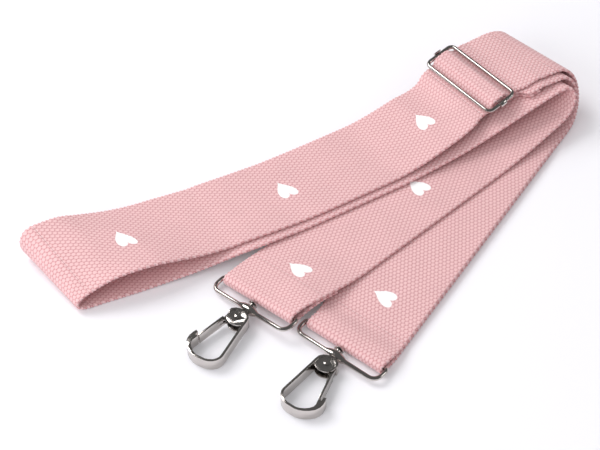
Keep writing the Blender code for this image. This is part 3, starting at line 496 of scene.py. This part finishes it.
def curve_through(points, stations, wanted):
    """A smooth curve through the points, and its direction, at the wanted stations."""
    steps = np.diff(stations)[:, None]
    chords = np.diff(points, axis=0) / steps
    slopes = np.empty_like(points)
    slopes[0], slopes[-1] = chords[0], chords[-1]
    slopes[1:-1] = (chords[:-1] * steps[1:] + chords[1:] * steps[:-1]) / (steps[:-1] + steps[1:])
    index = np.clip(np.searchsorted(stations, wanted, side="right") - 1, 0, len(stations) - 2)
    step = steps[index]
    t = (wanted - stations[index])[:, None] / step
    a, b = points[index], points[index + 1]
    m, n = slopes[index] * step, slopes[index + 1] * step
    place = ((2 * t**3 - 3 * t**2 + 1) * a + (t**3 - 2 * t**2 + t) * m
             + (3 * t**2 - 2 * t**3) * b + (t**3 - t**2) * n)
    way = ((6 * t**2 - 6 * t) * (a - b) / step + (3 * t**2 - 4 * t + 1) * m / step
           + (3 * t**2 - 2 * t) * n / step)
    return place, way


def columns():
    """Places across the band, closer together at its rounded edges."""
    half = STRAP_WIDTH / 2
    count = int((half - EDGE_INSET) / COLUMN)
    inner = np.arange(-count, count + 1) * COLUMN
    return np.concatenate(([-half + EDGE_INSET / 2], inner, [half - EDGE_INSET / 2]))


def grains(along, across):
    """Height of the weave, 1 on the crests: longish grains in rows across the band, each row
    shifted by half a grain, so that the grains reach in between those of the next rows."""
    row = np.floor(along / GRAIN_ALONG + NUDGE)
    u = np.abs(along / GRAIN_ALONG - row - 0.5)
    place = across / GRAIN_ACROSS + np.mod(row, 2) / 2
    own, next_row = (GRAIN_LENGTHENED * reach**2 + ((place + shift) % 1.0 - 0.5)**2
                     for reach, shift in ((u, 0.0), (1 - u, 0.5)))
    return 1 - GRAIN_FALL * np.minimum(own, next_row)


def heart_offsets(node, rows, middle):
    """For each row, how far along the band it lies from a heart near it."""
    offset = np.full(len(rows), NO_HEART)
    for x, y in HEARTS.get(node, ()):
        centre = rows[np.argmin(np.hypot(middle[:, 0] - x, middle[:, 1] - y))]
        close = np.abs(rows - centre) < HEART_REACH
        offset[close] = (rows - centre)[close]
    return offset


def weave(name, node, rows, near, far, near_way, far_way):
    """A closed strip of webbing: grains in a basket weave on both faces and looped edges. Grains
    on a strip that gets pulled out would be drawn long, so there they are left to its material.
    Across the faces lie `across`, and each ring of points starts at the near rim."""
    half = STRAP_WIDTH / 2
    across = columns()
    middle = (near + far) / 2
    wide = np.linalg.norm(far - near, axis=1)
    side = unit(far - near)
    share = (across / STRAP_WIDTH + 0.5)[None, :, None]
    along = near_way[:, None, :] * (1 - share) + far_way[:, None, :] * share
    normal = unit(np.cross(along, side[:, None, :]))
    looped = SCALLOP * np.cos(2 * math.pi * rows / GRAIN_ALONG)
    stretch = (wide / 2 + looped) / half
    grain = grains(rows[:, None], across[None, :])
    if node in PULLED_OUT:
        grain[:] = grain.mean()
    into_edge = np.clip((np.abs(across) - (half - EDGE_ROUND)) / EDGE_ROUND, 0.0, 1.0)
    rounding = np.sqrt(1 - into_edge**2)[None, :]
    height = (CORE_HALF_THICKNESS + GRAIN_HEIGHT * grain) * rounding
    reach = (across[None, :] * stretch[:, None])[:, :, None]
    centre = middle[:, None, :] + side[:, None, :] * reach
    outer = centre + normal * height[:, :, None]
    inner = centre - normal * height[:, :, None]
    near_rim = middle - side * (wide / 2 + looped)[:, None]
    far_rim = middle + side * (wide / 2 + looped)[:, None]
    ring = np.concatenate((near_rim[:, None], outer, far_rim[:, None], inner[:, ::-1]), axis=1)
    places = np.concatenate(([-half], across, [half], across[::-1]))
    count, size = ring.shape[:2]
    index = np.arange(count * size).reshape(count, size)
    a, b = index[:-1], index[1:]
    quads = np.stack((a, np.roll(a, -1, axis=1), np.roll(b, -1, axis=1), b), axis=-1).reshape(-1, 4)
    top = np.arange(len(across) + 1)
    bottom = (size - top) % size
    caps = []
    for row, turned in ((index[0], False), (index[-1], True)):
        for i in range(len(top) - 1):
            face = [row[top[i]], row[bottom[i]], row[bottom[i + 1]], row[top[i + 1]]]
            face = list(dict.fromkeys(int(v) for v in face))
            caps.append(face[::-1] if turned else face)
        last = [int(row[top[-1]]), int(row[bottom[-1]]), int(row[len(across) + 1])]
        caps.append(last[::-1] if turned else last)
    mesh = bpy.data.meshes.new(name)
    mesh.from_pydata(ring.reshape(-1, 3).tolist(), [], quads.tolist() + caps)
    mesh.update()
    woven = bpy.data.objects.new(name, mesh)
    bpy.context.scene.collection.objects.link(woven)
    corner = np.empty(len(mesh.loops), dtype=np.int64)
    mesh.loops.foreach_get("vertex_index", corner)
    row_of, place_of = corner // size, corner % size
    inner_face = place_of > len(across) + 1
    strap = np.stack((rows[row_of], places[place_of]), axis=1)
    printed = np.stack((heart_offsets(node, rows, middle)[row_of], places[place_of]), axis=1)
    printed[inner_face, 0] = NO_HEART
    for layer, values in (("strap", strap), ("print", printed)):
        uv = mesh.uv_layers.new(name=layer)
        uv.data.foreach_set("uv", values.astype(np.float32).ravel())
    mesh.polygons.foreach_set("use_smooth", [True] * len(quads) + [False] * len(caps))
    return woven


def square_to_rows(near, far):
    """The way along a strip that is square to its end rows, and the way across it."""
    across = unit((unit(far[0] - near[0]) + unit(far[-1] - near[-1])) / 2)
    along = (near[-1] + far[-1] - near[0] - far[0]) / 2
    return unit(along - across * (along @ across)), across


def follow_bodies(woven, bodies):
    """A strip on one body goes with that body; a strip between two bodies stays where it lies."""
    if len(bodies) == 1:
        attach(woven, bodies[0])
        return
    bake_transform(woven)


def pulled_out_material(node, rows, near, far):
    """The webbing's material, its rows counted from the end that stays in place."""
    way, across = square_to_rows(near, far)
    at = 0 if dict(BAND)[node][0] == "webbing" else -1
    still = (near[at] + far[at]) / 2
    laid = (way, across, rows[at] - still @ way, -(still @ across))
    return webbing_material("pink_" + node, COTTON_BUMP_WITHOUT_RELIEF, laid)


def make_webbing(material):
    """All the strips, each cut on the crest of a row of grains, where a joint shows least."""
    edges, places, starts = joined_band()
    ends = [int(round(start / ROW)) for start in starts]
    for i in range(1, len(ends) - 1):
        ends[i] += ROWS_IN_GRAIN // 2 - ends[i] % ROWS_IN_GRAIN
    for (node, bodies), first, last in zip(BAND, ends, ends[1:]):
        rows = np.clip(np.arange(first, last + 1) * ROW, 0.0, starts[-1])
        near, near_way = curve_through(edges[0], places[0], rows)
        far, far_way = curve_through(edges[1], places[1], rows)
        woven = weave("woven_" + node, node, rows, near, far, near_way, far_way)
        if node in PULLED_OUT:
            woven.data.materials.append(pulled_out_material(node, rows, near, far))
        else:
            woven.data.materials.append(material)
        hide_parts(node)
        follow_bodies(woven, bodies)


# Hardware

def rolled(node, body, material):
    """A copy of a nickel piece with its edges rolled over."""
    copy = merged_copy(node, "plated_" + node)
    choose(copy)
    bpy.ops.object.mode_set(mode="EDIT")
    bpy.ops.mesh.select_all(action="SELECT")
    bpy.ops.mesh.dissolve_limited(angle_limit=FLAT_WITHIN)
    bpy.ops.object.mode_set(mode="OBJECT")
    bevel = copy.modifiers.new("rolled edge", "BEVEL")
    bevel.width = ROLLED_EDGE
    bevel.segments = ROLLED_SEGMENTS
    bevel.limit_method = "ANGLE"
    bevel.angle_limit = ROLLED_FROM
    bevel.use_clamp_overlap = True
    bpy.ops.object.modifier_apply(modifier=bevel.name)
    bpy.ops.object.shade_smooth_by_angle(angle=SMOOTH_WITHIN)
    copy.data.materials.append(material)
    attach(copy, body)
    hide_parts(node)


def wound(node, material):
    """A gate spring: a smooth-shaded copy of its solid, left where it lies."""
    joint = next(joint for joint in frame["record"]["behaviour"]["joints"]
                 if joint["name"] == node.replace("_spring", "_open"))
    pivot = Vector(joint["pos_m"])
    copy = merged_copy(node, "wound_" + node)
    copy.data.materials.append(material)
    bpy.ops.object.shade_smooth_by_angle(angle=WIRE_SMOOTH_WITHIN)
    leg = max((vertex.co - pivot for vertex in copy.data.vertices), key=lambda reach: reach.length)
    leg.normalize()
    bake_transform(copy)
    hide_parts(node)


def make_hardware(nickel, steel):
    bodies = frame["record"]["behaviour"]["bodies"]
    for body, members in bodies.items():
        for node in members:
            if node.startswith("webbing"):
                continue
            if node.endswith("_spring"):
                wound(node, steel)
            else:
                rolled(node, body, nickel)


# Studio

def make_floor():
    deselect_all()
    bpy.ops.mesh.primitive_plane_add(size=TABLE_SIZE, location=(LOOK_AT.x, LOOK_AT.y, -TABLE_BELOW))
    floor = bpy.context.object
    floor.name = "table"
    made, tree, shader = new_material("white_table")
    shader.inputs["Base Color"].default_value = TABLE_COLOUR
    shader.inputs["Roughness"].default_value = TABLE_ROUGHNESS
    shader.inputs["Specular IOR Level"].default_value = TABLE_SPECULAR
    path = tree.nodes.new("ShaderNodeLightPath")
    seen = number(tree, "MAXIMUM", path.outputs["Is Camera Ray"], path.outputs["Is Glossy Ray"])
    shader.inputs["Emission Color"].default_value = TABLE_GLOW_COLOUR
    tree.links.new(number(tree, "MULTIPLY", seen, TABLE_GLOW), shader.inputs["Emission Strength"])
    floor.data.materials.append(made)


def make_world():
    world = bpy.data.worlds.new("studio")
    bpy.context.scene.world = world
    world.use_nodes = True
    tree = world.node_tree
    back = tree.nodes["Background"]
    path = tree.nodes.new("ShaderNodeLightPath")
    back.inputs["Color"].default_value = (1.0, 1.0, 1.0, 1.0)
    lit = number(tree, "MULTIPLY", path.outputs["Is Glossy Ray"], WORLD_MIRRORED)
    lit = number(tree, "ADD", lit, WORLD_LEVEL)
    level = number(tree, "MAXIMUM", path.outputs["Is Camera Ray"], lit)
    tree.links.new(level, back.inputs["Strength"])


def aim(thing, right, ahead, up):
    """Places a light or a card from the point looked at, as seen by the camera, facing it."""
    sideways = Vector((math.cos(CAMERA_HEADING), -math.sin(CAMERA_HEADING), 0.0))
    forward = Vector((math.sin(CAMERA_HEADING), math.cos(CAMERA_HEADING), 0.0))
    thing.location = LOOK_AT + sideways * right + forward * ahead + Vector((0.0, 0.0, up))
    thing.rotation_euler = (LOOK_AT - thing.location).to_track_quat("-Z", "Y").to_euler()


def add_lamp(name, place, size, power):
    """A square soft light that the metal doesn't mirror."""
    light = bpy.data.lights.new(name, "AREA")
    light.shape = "SQUARE"
    light.size = size
    light.energy = power
    lamp = bpy.data.objects.new(name, light)
    lamp.visible_glossy = False
    bpy.context.scene.collection.objects.link(lamp)
    aim(lamp, *place)


def add_card(name, place, size, strength):
    """A bright card that only the metal mirrors."""
    deselect_all()
    bpy.ops.mesh.primitive_plane_add(size=size)
    card = bpy.context.object
    card.name = name
    made, tree, shader = new_material(name)
    shader.inputs["Base Color"].default_value = (0.0, 0.0, 0.0, 1.0)
    shader.inputs["Emission Color"].default_value = CARD_COLOUR
    shader.inputs["Emission Strength"].default_value = strength
    card.data.materials.append(made)
    card.visible_camera = card.visible_diffuse = card.visible_shadow = False
    aim(card, *place)


def make_camera():
    data = bpy.data.cameras.new("camera")
    data.lens = CAMERA_LENS
    data.sensor_width = SENSOR_WIDTH
    camera = bpy.data.objects.new("camera", data)
    bpy.context.scene.collection.objects.link(camera)
    level, drop = math.cos(CAMERA_PITCH), math.sin(CAMERA_PITCH)
    way = Vector((math.sin(CAMERA_HEADING) * level, math.cos(CAMERA_HEADING) * level, -drop))
    camera.location = LOOK_AT - way * CAMERA_DISTANCE
    camera.rotation_euler = way.to_track_quat("-Z", "Y").to_euler()
    bpy.context.scene.camera = camera


def make_scene():
    make_camera()
    make_webbing(webbing_material("pink_webbing", COTTON_BUMP))
    nickel = metal_material("polished_nickel", *NICKEL)
    steel = metal_material("spring_steel", *SPRING_STEEL)
    make_hardware(nickel, steel)
    make_floor()
    make_world()
    for lamp in LAMPS:
        add_lamp(*lamp)
    for card in CARDS:
        add_card(*card)
    bpy.context.scene.view_settings.view_transform = "Standard"


make_scene()
